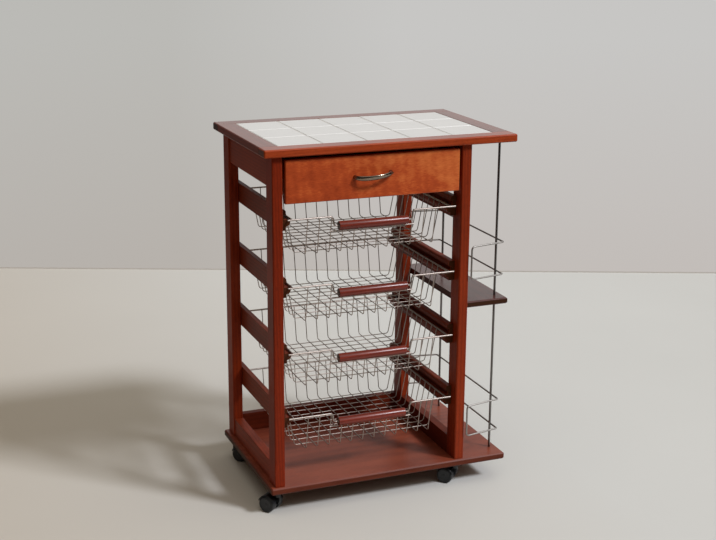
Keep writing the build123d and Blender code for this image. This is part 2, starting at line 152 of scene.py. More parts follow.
def makeStudio(look, turnDegrees):
    # Floor, turned so that its far edge is square to the camera
    corners = [(-look["floorSide"], -look["floorFront"]), (look["floorSide"], -look["floorFront"]),
               (look["floorSide"], look["floorBack"]), (-look["floorSide"], look["floorBack"])]
    mesh = bpy.data.meshes.new("studioFloor")
    turn = Matrix.Rotation(math.radians(turnDegrees), 4, "Z")
    mesh.from_pydata([turn @ Vector((x * mm, y * mm, 0)) for x, y in corners], [], [(0, 1, 2, 3)])
    floor = bpy.data.objects.new("studioFloor", mesh)
    bpy.context.scene.collection.objects.link(floor)
    material, tree = newMaterial("matteVinylFloor")
    place = addNode(tree, "ShaderNodeTexCoord", output="Object")
    cloud = addNode(tree, "ShaderNodeTexNoise", {"Vector": place, "Scale": perSize(600), "Detail": 2.0})
    shade = addNode(tree, "ShaderNodeMapRange", {"Value": cloud, "To Min": 0.97, "To Max": 1.03})
    sideways = tree.nodes.new("ShaderNodeSeparateXYZ")
    tree.links.new(place, sideways.inputs[0])
    near, far = (edge * mm for edge in look["floorSpan"])
    reach = addNode(tree, "ShaderNodeMapRange", {"Value": sideways.outputs["X"], "From Min": near, "From Max": far})
    # The floor is painted darker to the left, as shade of the light falling off
    left, right = (linear(c) for c in look["floorColours"])
    paintedFloorFalloff = addNode(tree, "ShaderNodeMix", {0: reach, 6: left, 7: right}, {"data_type": "RGBA"}, 2)
    colour = addNode(tree, "ShaderNodeMix", {0: 1.0, 6: paintedFloorFalloff, 7: shade},
                     {"data_type": "RGBA", "blend_type": "MULTIPLY"}, 2)
    shader = addNode(tree, "ShaderNodeBsdfPrincipled", {"Base Color": colour, "Roughness": 0.62, "Specular IOR Level": 0.3})
    addNode(tree, "ShaderNodeOutputMaterial", {"Surface": shader})
    mesh.materials.append(material)

    # A low shadow gap where the floor meets the backdrop
    mesh = bpy.data.meshes.new("studioGap")
    half, back, high = look["floorSide"], look["floorBack"], look["gapHeight"]
    ends = [(-half, back, 0), (half, back, 0), (half, back, high), (-half, back, high)]
    mesh.from_pydata([turn @ (Vector(p) * mm) for p in ends], [], [(0, 1, 2, 3)])
    gap = bpy.data.objects.new("studioGap", mesh)
    bpy.context.scene.collection.objects.link(gap)
    material, tree = newMaterial("mattePaintGap")
    shader = addNode(tree, "ShaderNodeBsdfPrincipled", {"Base Color": linear(look["gapColour"]), "Roughness": 0.9})
    addNode(tree, "ShaderNodeOutputMaterial", {"Surface": shader})
    mesh.materials.append(material)

    # World: camera rays see the wall, reflections see the wall behind and a dim room in front, the rest is even fill
    world = bpy.data.worlds.new("studioRoom")
    bpy.context.scene.world = world
    world.use_nodes = True
    tree = world.node_tree
    tree.nodes.clear()
    direction = addNode(tree, "ShaderNodeTexCoord", output="Generated")
    split = tree.nodes.new("ShaderNodeSeparateXYZ")
    tree.links.new(direction, split.inputs[0])
    towards = tree.nodes.new("ShaderNodeVectorMath")
    towards.operation = "DOT_PRODUCT"
    towards.inputs[1].default_value = look["brightSide"]
    tree.links.new(direction, towards.inputs[0])
    behind = addNode(tree, "ShaderNodeMapRange", {"Value": towards.outputs["Value"], "From Min": 0.6, "From Max": 0.97})
    around = addNode(tree, "ShaderNodeMix", {0: behind, 6: linear(look["roomColour"]), 7: linear(look["wallColours"][1])},
                     {"data_type": "RGBA"}, 2)
    # The backdrop is painted darker to the left, as shade of the light falling off
    across = addNode(tree, "ShaderNodeMapRange", {"Value": split.outputs["X"], "From Min": 0.24, "From Max": 0.4})
    left, right = (linear(c) for c in look["wallColours"])
    paintedWallFalloff = addNode(tree, "ShaderNodeMix", {0: across, 6: left, 7: right}, {"data_type": "RGBA"}, 2)
    # The foot of the backdrop is painted darker and warmer, as shade
    rise = addNode(tree, "ShaderNodeMapRange", {"Value": split.outputs["Z"], "From Min": -0.27, "From Max": -0.1})
    tint = addNode(tree, "ShaderNodeMix", {0: rise, 6: linear(look["lowTint"]), 7: (1, 1, 1, 1)}, {"data_type": "RGBA"}, 2)
    backdrop = addNode(tree, "ShaderNodeMix", {0: 1.0, 6: paintedWallFalloff, 7: tint},
                       {"data_type": "RGBA", "blend_type": "MULTIPLY"}, 2)
    rays = tree.nodes.new("ShaderNodeLightPath")
    glossy = addNode(tree, "ShaderNodeMath", {0: rays.outputs["Is Glossy Ray"], 1: rays.outputs["Is Transmission Ray"]},
                     {"operation": "MAXIMUM"})
    fill = addNode(tree, "ShaderNodeBackground", {"Color": linear(look["fillColour"]), "Strength": look["fillStrength"]})
    mirror = addNode(tree, "ShaderNodeBackground", {"Color": around, "Strength": 1.0})
    wall = addNode(tree, "ShaderNodeBackground", {"Color": backdrop, "Strength": 1.0})
    lit = addNode(tree, "ShaderNodeMixShader", {0: glossy, 1: fill, 2: mirror})
    seen = addNode(tree, "ShaderNodeMixShader", {0: rays.outputs["Is Camera Ray"], 1: lit, 2: wall})
    addNode(tree, "ShaderNodeOutputWorld", {"Surface": seen})

    # Lamps, far enough off to light the whole floor alike
    for name, (direction, spread, strength, colour) in look["lamps"].items():
        data = bpy.data.lights.new(name, "SUN")
        data.angle, data.energy, data.color = math.radians(spread), strength, linear(colour)[:3]
        lamp = bpy.data.objects.new(name, data)
        bpy.context.scene.collection.objects.link(lamp)
        lamp.rotation_mode = "QUATERNION"
        lamp.rotation_quaternion = Vector(direction).to_track_quat("Z", "Y")


bpy.context.scene.view_settings.view_transform = "Standard"
makeCamera(cameraView)
makeStudio(studio, cameraView["azimuth"])
print("camera and studio made")


# Beech stained mahogany red under satin lacquer: rings and short fibres show through a clear coat
beechFinish = {
    "darkStain": "#672310",
    "lightStain": "#9a3b1a",
    "poreColour": "#3a1108",
    "endColour": "#38220f",
    "ringSpacing": 7.0,          # growth rings
    "ringWander": 5.0,
    "grainStretch": 0.05,        # rings wander this much slower along the grain
    "fibreWidth": 0.9,           # real fibres are finer; drawn as coarse as they need to show
    "fibreLength": 26.0,
    "poreWidth": 0.7,
    "poreLength": 9.0,
    "cloudSize": 70.0,
    "pithAway": 90.0,
    "ringShare": 0.3,
    "fibreShare": 0.35,
    "cloudShare": 0.35,
    "poreShare": 0.35,
    # painted light and shade by facing: colour multipliers for faces that look up and for the other faces
    "upTone": 1.0,               # faces that look up, and the other faces
    "sideTone": 1.0,
    "roughness": 0.46,
    "coat": 0.0,
    "sideCoat": 0.0,             # coat and specular are full only where faces look up, a painted sheen set by facing
    "coatRoughness": 0.2,
    "specular": 0.2,
    "sideSpecular": 0.12,
    "bump": 0.2,
}
grainTurns = {"x": (0, 0, 0), "y": (0, 0, -90), "z": (0, 90, 0)}  # brings the grain onto X


def stainedWood(name, finish, axis, tilt=1.6):
    material, tree = newMaterial(name)
    place = tree.nodes.new("ShaderNodeTexCoord")
    own = addNode(tree, "ShaderNodeObjectInfo", output="Random")
    # Each piece is cut from another part of the tree
    along = addNode(tree, "ShaderNodeMath", {0: own, 1: 3.7}, {"operation": "MULTIPLY"})
    away = addNode(tree, "ShaderNodeMath", {0: own, 1: finish["pithAway"] * mm, 2: finish["pithAway"] * mm},
                   {"operation": "MULTIPLY_ADD"})
    shift = addNode(tree, "ShaderNodeCombineXYZ", {0: along, 1: away, 2: away})
    turns = [math.radians(t) for t in grainTurns[axis]]
    turns[1] += math.radians(tilt)
    turns[2] += math.radians(tilt)
    board = addNode(tree, "ShaderNodeMapping", {"Vector": place.outputs["Object"], "Rotation": turns, "Location": shift})
    drawn = addNode(tree, "ShaderNodeMapping", {"Vector": board, "Scale": (finish["grainStretch"], 1, 1)})
    rings = addNode(tree, "ShaderNodeTexWave",
                    {"Vector": drawn, "Scale": 0.314 * perSize(finish["ringSpacing"]), "Distortion": finish["ringWander"],
                     "Detail": 3.0, "Detail Scale": 0.35, "Detail Roughness": 0.6},
                    {"wave_type": "RINGS", "rings_direction": "X", "wave_profile": "SIN"}, "Fac")
    fibreSpace = addNode(tree, "ShaderNodeMapping", {"Vector": board, "Scale": (
        perSize(finish["fibreLength"]), perSize(finish["fibreWidth"]), perSize(finish["fibreWidth"]))})
    fibres = addNode(tree, "ShaderNodeTexNoise", {"Vector": fibreSpace, "Scale": 1.0, "Detail": 3.0, "Roughness": 0.6})
    poreSpace = addNode(tree, "ShaderNodeMapping", {"Vector": board, "Scale": (
        perSize(finish["poreLength"]), perSize(finish["poreWidth"]), perSize(finish["poreWidth"]))})
    poreNoise = addNode(tree, "ShaderNodeTexNoise", {"Vector": poreSpace, "Scale": 1.0, "Detail": 0.0})
    pores = addNode(tree, "ShaderNodeMapRange", {"Value": poreNoise, "From Min": 0.62, "From Max": 0.74})
    cloudSpace = addNode(tree, "ShaderNodeMapping", {"Vector": board, "Scale": (0.35, 1, 1)})
    clouds = addNode(tree, "ShaderNodeTexNoise", {"Vector": cloudSpace, "Scale": perSize(finish["cloudSize"]), "Detail": 3.0})
    evenClouds = addNode(tree, "ShaderNodeMapRange", {"Value": clouds, "From Min": 0.3, "From Max": 0.7})
    evenFibres = addNode(tree, "ShaderNodeMapRange", {"Value": fibres, "From Min": 0.3, "From Max": 0.7})

    tone = addNode(tree, "ShaderNodeMath", {0: rings, 1: finish["ringShare"], 2: 0.0}, {"operation": "MULTIPLY_ADD"})
    tone = addNode(tree, "ShaderNodeMath", {0: evenFibres, 1: finish["fibreShare"], 2: tone}, {"operation": "MULTIPLY_ADD"})
    tone = addNode(tree, "ShaderNodeMath", {0: evenClouds, 1: finish["cloudShare"], 2: tone}, {"operation": "MULTIPLY_ADD"})
    stain = addNode(tree, "ShaderNodeMix", {0: tone, 6: linear(finish["darkStain"]), 7: linear(finish["lightStain"])},
                    {"data_type": "RGBA"}, 2)
    poreDepth = addNode(tree, "ShaderNodeMath", {0: pores, 1: finish["poreShare"]}, {"operation": "MULTIPLY"})
    pored = addNode(tree, "ShaderNodeMix", {0: poreDepth, 6: stain, 7: linear(finish["poreColour"])},
                    {"data_type": "RGBA"}, 2)
    # End grain drinks more stain
    sides = tree.nodes.new("ShaderNodeSeparateXYZ")
    tree.links.new(place.outputs["Normal"], sides.inputs[0])
    facing = addNode(tree, "ShaderNodeMath", {0: sides.outputs["XYZ".index(axis.upper())]}, {"operation": "ABSOLUTE"})
    endGrain = addNode(tree, "ShaderNodeMapRange", {"Value": facing, "From Min": 0.75, "From Max": 0.97, "To Max": 0.8})
    ended = addNode(tree, "ShaderNodeMix", {0: endGrain, 6: pored, 7: linear(finish["endColour"])},
                    {"data_type": "RGBA"}, 2)
    # Painted light and shade by facing: colour, coat and specular change where faces look up
    paintedShadeAndSheenMask = {"Value": sides.outputs["Z"], "From Min": 0.6, "From Max": 0.95}
    paintedFacingShade = addNode(tree, "ShaderNodeMapRange", {**paintedShadeAndSheenMask, "To Min": finish["sideTone"], "To Max": finish["upTone"]})
    coat = addNode(tree, "ShaderNodeMapRange", {**paintedShadeAndSheenMask, "To Min": finish["sideCoat"], "To Max": finish["coat"]})
    shine = addNode(tree, "ShaderNodeMapRange", {**paintedShadeAndSheenMask, "To Min": finish["sideSpecular"], "To Max": finish["specular"]})
    colour = addNode(tree, "ShaderNodeMix", {0: 1.0, 6: ended, 7: paintedFacingShade},
                     {"data_type": "RGBA", "blend_type": "MULTIPLY"}, 2)
    rough = addNode(tree, "ShaderNodeMapRange", {"Value": fibres, "To Min": finish["roughness"] - 0.06,
                                                 "To Max": finish["roughness"] + 0.1})
    height = addNode(tree, "ShaderNodeMath", {0: pores, 1: -1.0, 2: fibres}, {"operation": "MULTIPLY_ADD"})
    bump = addNode(tree, "ShaderNodeBump", {"Height": height, "Strength": finish["bump"], "Distance": 0.08 * mm})
    shader = addNode(tree, "ShaderNodeBsdfPrincipled", {
        "Base Color": colour, "Roughness": rough, "Normal": bump, "IOR": 1.5, "Specular IOR Level": shine,
        "Coat Weight": coat, "Coat Roughness": finish["coatRoughness"], "Coat IOR": 1.5})
    addNode(tree, "ShaderNodeOutputMaterial", {"Surface": shader})
    return material


# Links a mesh as a piece that rides a body and stands for CAD nodes
def addPiece(name, data, body, materials, nodes=()):
    piece = bpy.data.objects.new(name, data)
    bpy.context.scene.collection.objects.link(piece)
    for material in materials:
        data.materials.append(material)
    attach(piece, body)
    if nodes:
        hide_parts(*nodes)
    return piece


def camel(node):
    head, *rest = node.split("_")
    return head + "".join(word.capitalize() for word in rest)


# A CAD node made again with softly rounded edges
def easeNode(node, radius, material, segments=2, ending="Eased"):
    source = frame["nodes"][node]
    shape = bmesh.new()
    shape.from_mesh(source.data)
    bmesh.ops.remove_doubles(shape, verts=shape.verts, dist=0.01 * mm)
    bmesh.ops.dissolve_limit(shape, angle_limit=math.radians(1), verts=shape.verts, edges=shape.edges)
    bmesh.ops.recalc_face_normals(shape, faces=shape.faces)
    mesh = bpy.data.meshes.new(camel(node) + ending)
    shape.to_mesh(mesh)
    shape.free()
    mesh.shade_smooth()
    piece = addPiece(mesh.name, mesh, source["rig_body"], [material], [node])
    bevel = piece.modifiers.new("ease", "BEVEL")
    bevel.width, bevel.segments = radius * mm, segments
    bevel.limit_method, bevel.angle_limit = "ANGLE", math.radians(25)
    # Large faces keep their own normal, so gloss runs evenly over them
    even = piece.modifiers.new("even", "WEIGHTED_NORMAL")
    even.mode, even.weight = "FACE_AREA", 100
    return piece


# Solid woodwork: node, grain axis, edge radius, slot
woodwork = {
    # Front rail stained lighter than the rest of the top frame: painted light on the face the lamp falls on
    "topFront": {
        "nodes": {"top_front_rail": "x"},
        "edge": 0.6, "slot": "top_frame_wood", "lightStain": "#b44c25", "darkStain": "#8e3518",
        "upTone": 0.94, "specular": 0.5, "coat": 0.7, "roughness": 0.36,
    },
    # Top frame: painted shade by facing, the sides darker than the top
    "topFrame": {
        "nodes": {"top_back_rail": "x", "top_left_stile": "y", "top_right_stile": "y"},
        "edge": 0.6, "slot": "top_frame_wood", "lightStain": "#a04020", "darkStain": "#7a2c14",
        "upTone": 0.72, "sideTone": 0.55, "specular": 0.5, "coat": 0.85, "roughness": 0.36,
    },
    # Left post stained darker than the others: painted shade, the light falls from the right
    "leftPost": {
        "nodes": {"front_left_post": "z"},
        "edge": 1.0, "slot": "post_wood", "darkStain": "#5f1905", "lightStain": "#8d2c0e",
    },
    "posts": {
        "nodes": {"front_right_post": "z", "back_left_post": "z", "back_right_post": "z"},
        "edge": 1.0, "slot": "post_wood", "darkStain": "#651e0a", "lightStain": "#983614",
    },
    "rails": {
        "nodes": {"left_apron": "y", "right_apron": "y", "back_apron": "x", "left_bottom_rail": "y"},
        "edge": 1.2, "slot": "rail_wood",
    },
    # Right bottom rail stained darker: painted shade of its inner face, which looks away from the lamp
    "rightRail": {
        "nodes": {"right_bottom_rail": "y"},
        "edge": 1.2, "slot": "rail_wood", "darkStain": "#4a170b", "lightStain": "#6e2812",
    },
    "runners": {
        "nodes": {side + "_runner_%d" % n: "y" for side in ("left", "right") for n in (1, 2, 3, 4)},
        "edge": 0.5, "slot": "runner_wood", "darkStain": "#58200f", "lightStain": "#86341a",
    },
    # Base board: its top face is painted 2.2 times as light as its sides, as painted light
    "base": {
        "nodes": {"base_board": "x"},
        "edge": 1.0, "slot": "base_wood", "ringSpacing": 16.0, "ringShare": 0.2, "cloudShare": 0.5, "darkStain": "#471b10",
        "lightStain": "#6c3422", "upTone": 2.2, "coat": 0.35, "coatRoughness": 0.25, "specular": 0.35,
    },
    # Shelf stained darker: partly its own wood, partly painted shade from the worktop above it
    "shelf": {
        "nodes": {"side_shelf": "y"},
        "edge": 1.0, "slot": "shelf_wood", "darkStain": "#3a130d", "lightStain": "#5c241a", "coat": 0.8,
        "coatRoughness": 0.16, "specular": 0.5,
    },
}


def makeWoodwork(groups):
    for group, work in groups.items():
        finish = {**beechFinish, **{k: v for k, v in work.items() if k in beechFinish}}
        ready = {}
        for node, axis in work["nodes"].items():
            if axis not in ready:
                ready[axis] = stainedWood("lacqueredBeech" + group.capitalize() + axis.upper(), finish, axis)
            easeNode(node, work["edge"], ready[axis])


# Bottom rail between the back posts: as high as the side rails, as thick and set back as the apron above it
# Stained as dark as the shaded right rail: painted shade under the bottom basket
backRail = {"edge": 1.2, "slot": "rail_wood", "darkStain": "#4a170b", "lightStain": "#6e2812"}


def makeBackRail(size):
    finish = {**beechFinish, **{k: v for k, v in size.items() if k in beechFinish}}
    ends = [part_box("back_left_post")[1].x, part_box("back_right_post")[0].x]
    depths = [v.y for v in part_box("back_apron")]
    heights = [v.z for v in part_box("left_bottom_rail")]
    shape = bmesh.new()
    bmesh.ops.create_cube(shape, size=1.0)
    for vertex in shape.verts:
        vertex.co = [span[0] if v < 0 else span[1] for v, span in zip(vertex.co, (ends, depths, heights))]
    mesh = bpy.data.meshes.new("backBottomRail")
    shape.to_mesh(mesh)
    shape.free()
    mesh.shade_smooth()
    piece = addPiece(mesh.name, mesh, "carcase", [stainedWood("lacqueredBeechBackRailX", finish, "x")])
    bevel = piece.modifiers.new("ease", "BEVEL")
    bevel.width, bevel.segments, bevel.harden_normals = size["edge"] * mm, 2, True


makeWoodwork(woodwork)
makeBackRail(backRail)
print("woodwork made")


# Glazed white wall tiles: a glassy glaze with faint waves, each tile a touch different
tileGlaze = {
    "colour": "#eaebe9",
    "tilePitch": 103.0,
    "tintSpread": 0.03,
    "waveSize": 22.0,
    "roughness": 0.2,
    "edge": 0.5,
}


def makeTiles(look):
    material, tree = newMaterial("glazedCeramic")
    place = tree.nodes.new("ShaderNodeTexCoord")
    pitch = look["tilePitch"] * mm
    moved = addNode(tree, "ShaderNodeVectorMath", {0: place.outputs["Object"], 1: (pitch / 2, pitch / 2, 10)},
                    {"operation": "ADD"})
    cell = addNode(tree, "ShaderNodeVectorMath", {0: moved, 1: (pitch, pitch, 20)}, {"operation": "SNAP"})
    chance = addNode(tree, "ShaderNodeTexWhiteNoise", {"Vector": cell})
    tint = addNode(tree, "ShaderNodeMapRange", {"Value": chance, "To Min": 1 - look["tintSpread"], "To Max": 1.0})
    speck = addNode(tree, "ShaderNodeTexNoise", {"Vector": place.outputs["Object"], "Scale": perSize(45), "Detail": 4.0})
    cloud = addNode(tree, "ShaderNodeMapRange", {"Value": speck, "From Min": 0.35, "From Max": 0.65, "To Min": 0.975})
    shade = addNode(tree, "ShaderNodeMath", {0: tint, 1: cloud}, {"operation": "MULTIPLY"})
    colour = addNode(tree, "ShaderNodeMix", {0: 1.0, 6: linear(look["colour"]), 7: shade},
                     {"data_type": "RGBA", "blend_type": "MULTIPLY"}, 2)
    wave = addNode(tree, "ShaderNodeTexNoise", {"Vector": place.outputs["Object"], "Scale": perSize(look["waveSize"]),
                                                "Detail": 1.0})
    bump = addNode(tree, "ShaderNodeBump", {"Height": wave, "Strength": 0.35, "Distance": 0.12 * mm})
    shader = addNode(tree, "ShaderNodeBsdfPrincipled", {"Base Color": colour, "Roughness": look["roughness"], "IOR": 1.52,
                                                        "Normal": bump})
    addNode(tree, "ShaderNodeOutputMaterial", {"Surface": shader})
    easeNode("tiles", look["edge"], material, 3, "Glazed")


# Cement grout: sandy and matt
groutFinish = {"colour": "#d8d7d3", "darkColour": "#c8c6c1", "sandSize": 0.6}


def makeGrout(look):
    material, tree = newMaterial("cementGrout")
    place = addNode(tree, "ShaderNodeTexCoord", output="Object")
    sand = addNode(tree, "ShaderNodeTexNoise", {"Vector": place, "Scale": perSize(look["sandSize"]), "Detail": 2.0})
    dirt = addNode(tree, "ShaderNodeTexNoise", {"Vector": place, "Scale": perSize(60), "Detail": 2.0})
    colour = addNode(tree, "ShaderNodeMix", {0: dirt, 6: linear(look["darkColour"]), 7: linear(look["colour"])},
                     {"data_type": "RGBA"}, 2)
    bump = addNode(tree, "ShaderNodeBump", {"Height": sand, "Strength": 0.5, "Distance": 0.15 * mm})
    shader = addNode(tree, "ShaderNodeBsdfPrincipled", {"Base Color": colour, "Roughness": 0.9, "Normal": bump})
    addNode(tree, "ShaderNodeOutputMaterial", {"Surface": shader})
    frame["nodes"]["grout_bed"].data.materials.clear()
    frame["nodes"]["grout_bed"].data.materials.append(material)
    return material


makeTiles(tileGlaze)
makeGrout(groutFinish)
print("tiled field made")


# Flat drawn metals and mouldings share this: a base tone, faint streaks or grain, its roughness and a fine bump
def plainFinish(name, look):
    material, tree = newMaterial(name)
    place = addNode(tree, "ShaderNodeTexCoord", output="Object")
    space = addNode(tree, "ShaderNodeMapping", {"Vector": place, "Scale": [perSize(s) for s in look["grainSize"]]})
    grain = addNode(tree, "ShaderNodeTexNoise", {"Vector": space, "Scale": 1.0, "Detail": 3.0})
    colour = addNode(tree, "ShaderNodeMix", {0: grain, 6: linear(look["darkColour"]), 7: linear(look["colour"])},
                     {"data_type": "RGBA"}, 2)
    rough = addNode(tree, "ShaderNodeMapRange", {"Value": grain, "To Min": look["roughness"] * 0.8,
                                                 "To Max": look["roughness"] * 1.2})
    bump = addNode(tree, "ShaderNodeBump", {"Height": grain, "Strength": look["bump"], "Distance": 0.05 * mm})
    shader = addNode(tree, "ShaderNodeBsdfPrincipled", {"Base Color": colour, "Metallic": look["metallic"],
                                                        "Roughness": rough, "Normal": bump})
    addNode(tree, "ShaderNodeOutputMaterial", {"Surface": shader})
    return material


# Straight runs joined by arcs: each inner corner is rounded over its bend length on both sides
def bentPath(corners, bends, arcSteps=7):
    points = [Vector(c) for c in corners]
    path = [points[0]]
    for before, corner, after, bend in zip(points, points[1:], points[2:], bends):
        arrive, leave = (corner - before).normalized(), (after - corner).normalized()
        turn = arrive.angle(leave)
        radius = bend / math.tan(turn / 2)
        inward = (leave - arrive * arrive.dot(leave)).normalized()
        start = corner - arrive * bend
        centre = start + inward * radius
        for step in range(arcSteps + 1):
            angle = turn * step / arcSteps
            path.append(centre - inward * radius * math.cos(angle) + arrive * radius * math.sin(angle))
    path.append(points[-1])
    return path


# Round wires as one curve piece: each run is (points in mm, wire diameter in mm, closed or not)
def wirePiece(name, runs, body, material, nodes, sides=3):
    curve = bpy.data.curves.new(name, "CURVE")
    curve.dimensions = "3D"
    curve.bevel_depth = 1 * mm
    curve.bevel_resolution = sides
    curve.use_fill_caps = True
    for points, diameter, closed in runs:
        spline = curve.splines.new("POLY")
        spline.points.add(len(points) - 1)
        for target, point in zip(spline.points, points):
            target.co = (*(Vector(point) * mm), 1)
            target.radius = diameter / 2
        spline.use_cyclic_u = closed
        spline.use_smooth = True
    return addPiece(name, curve, body, [material], nodes)


# Wire baskets, about the middle of the rim at rim height; they hang by the rim on the runners
basketWire = {
    "rimDiameter": 4.0,
    "gridDiameter": 2.1,
    "barDiameter": 3.0,
    "rimHalf": 189.0,
    "stepOut": 10.0,              # the rim steps out into the runner's groove near the back
    "stepFrom": 303.0,            # from the front bar
    "stepTo": 318.0,
    "back": 342.0,
    "rimCorner": 12.0,
    "barHalf": 200.0,
    "dipHalf": 94.5,
    "dipDepth": 21.0,
    "dipBend": 8.5,
    "crossHalf": 100.3,
    "depth": 85.0,
    "slope": 17.0,
    "floorBend": 6.0,
    "longCount": 12,
    "sideCount": 10,
    "pitch": 27.8,
    "sideMiddle": 179.5,
    "crossDrop": 34.0,
}
# Zinc plated wire; its warm pinkish tint is partly painted reflection of the red wood around it
zincWire = {"colour": "#c3b7ae", "darkColour": "#9c9088", "grainSize": (3, 3, 3), "roughness": 0.42, "metallic": 1.0,
            "bump": 0.1}


def basketRuns(size):
    rim, thin = size["rimDiameter"] / 2, size["gridDiameter"] / 2
    wide, out, rear = size["rimHalf"], size["rimHalf"] + size["stepOut"], size["back"]
    right = [(wide, 1, 0), (wide, size["stepFrom"], 0), (out, size["stepTo"], 0), (out, rear, 0)]
    corners = right + [(-x, y, z) for x, y, z in reversed(right)]
    runs = [(bentPath(corners, [4, 4, size["rimCorner"], size["rimCorner"], 4, 4]), size["rimDiameter"], False)]
    dip, low = size["dipHalf"], -size["dipDepth"]
    half = [(size["barHalf"], 0, 0), (dip, 0, 0), (dip, 0, low)]
    corners = half + [(-x, y, z) for x, y, z in reversed(half)]
    runs.append((bentPath(corners, [size["dipBend"]] * 4), size["rimDiameter"], False))

    share = size["slope"] / size["depth"]
    floor = -size["depth"]
    for number in range(size["longCount"]):
        x = (number - (size["longCount"] - 1) / 2) * size["pitch"]
        top = 1 if abs(x) > dip else -size["crossDrop"] + 1.5
        front, behind = rim + thin, rear - rim - thin
        corners = [(x, front - share * top, top), (x, front + size["slope"], floor),
                   (x, behind - size["slope"], floor), (x, behind, 1)]
        runs.append((bentPath(corners, [size["floorBend"]] * 2), size["gridDiameter"], False))
    side = wide - rim - thin
    under = floor - size["gridDiameter"] * 0.95
    for number in range(size["sideCount"]):
        y = size["sideMiddle"] + (number - (size["sideCount"] - 1) / 2) * size["pitch"]
        corners = [(side, y, 1), (side - size["slope"], y, under), (-side + size["slope"], y, under), (-side, y, 1)]
        runs.append((bentPath(corners, [size["floorBend"]] * 2), size["gridDiameter"], False))
    reach = size["crossHalf"]
    y = rim + share * size["crossDrop"] - size["barDiameter"] / 2 + 0.1
    runs.append(([(-reach, y, -size["crossDrop"]), (reach, y, -size["crossDrop"])], size["barDiameter"], False))
    return runs


def makeBaskets(size, material):
    runs = basketRuns(size)
    for number in (1, 2, 3, 4):
        low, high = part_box("basket_%d_grip" % number)
        middle = (low + high) / 2 / mm + Vector((0, 0, size["dipDepth"]))
        placed = [([middle + Vector(p) for p in points], diameter, closed) for points, diameter, closed in runs]
        wirePiece("basket%dWires" % number, placed, "basket_%d_body" % number, material,
                  ["basket_%d" % number])


# A shape of revolution about X: profile points are (along, radius) in mm
def latheX(name, profile, segments=48):
    shape = bmesh.new()
    rings = []
    for along, radius in profile:
        if radius == 0:
            rings.append([shape.verts.new((along * mm, 0, 0))])
            continue
        ring = []
        for step in range(segments):
            angle = 2 * math.pi * step / segments
            ring.append(shape.verts.new((along * mm, radius * mm * math.cos(angle), radius * mm * math.sin(angle))))
        rings.append(ring)
    for first, second in zip(rings, rings[1:]):
        for step in range(segments):
            after = (step + 1) % segments
            if len(first) == 1:
                shape.faces.new((first[0], second[after], second[step]))
            elif len(second) == 1:
                shape.faces.new((first[step], first[after], second[0]))
            else:
                shape.faces.new((first[step], first[after], second[after], second[step]))
    bmesh.ops.recalc_face_normals(shape, faces=shape.faces)
    mesh = bpy.data.meshes.new(name)
    shape.to_mesh(mesh)
    shape.free()
    mesh.shade_smooth()
    mesh.set_sharp_from_angle(angle=math.radians(35))
    return mesh


# Turned beech grips: plain ends, a clean edge and the bore for the wire
grip = {"length": 165.0, "radius": 10.0, "edge": 0.8, "bore": 2.2, "boreEdge": 0.5, "boreDepth": 20.0,
        "darkStain": "#481208", "lightStain": "#8a3424", "coat": 0.6, "sideCoat": 0.6, "coatRoughness": 0.24,
        "specular": 0.15}


def makeGrips(size):
    finish = {**beechFinish, **{k: v for k, v in size.items() if k in beechFinish}}
    material = stainedWood("lacqueredBeechGrip", finish, "x")
    half, edge = size["length"] / 2, size["edge"]
    outside = []
    for step in range(5):
        angle = math.pi / 2 * step / 4
        outside.append((half - edge + edge * math.cos(angle), size["radius"] - edge + edge * math.sin(angle)))
    right = [(half - size["boreDepth"], 0), (half - size["boreDepth"], size["bore"]), (half - size["boreEdge"], size["bore"]),
             (half, size["bore"] + size["boreEdge"])] + outside
    profile = [(-x, r) for x, r in right] + list(reversed(right))
    for number in (1, 2, 3, 4):
        node = "basket_%d_grip" % number
        low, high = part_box(node)
        mesh = latheX("basket%dGripTurned" % number, profile, 56)
        mesh.transform(Matrix.Translation((low + high) / 2))
        addPiece(mesh.name, mesh, "basket_%d_body" % number, [material], [node])


wireMaterial = plainFinish("zincPlatedWire", zincWire)
makeBaskets(basketWire, wireMaterial)
makeGrips(grip)
print("baskets and grips made")


# Side bay: drawn steel rods and the two bent wire galleries
sideBay = {
    "rodDiameter": 5.5,
    "rodEase": 0.4,
    "wireDiameter": 4.0,
    "cornerBend": 5.0,
    "endBend": 8.0,
    "flare": 17.0,
}
galleryWire = {**zincWire, "colour": "#b4afa9", "darkColour": "#8a8682"}
rodSteel = {"colour": "#8f8d8a", "darkColour": "#5d5b59", "grainSize": (2, 2, 40), "roughness": 0.28, "metallic": 1.0,
            "bump": 0.08}


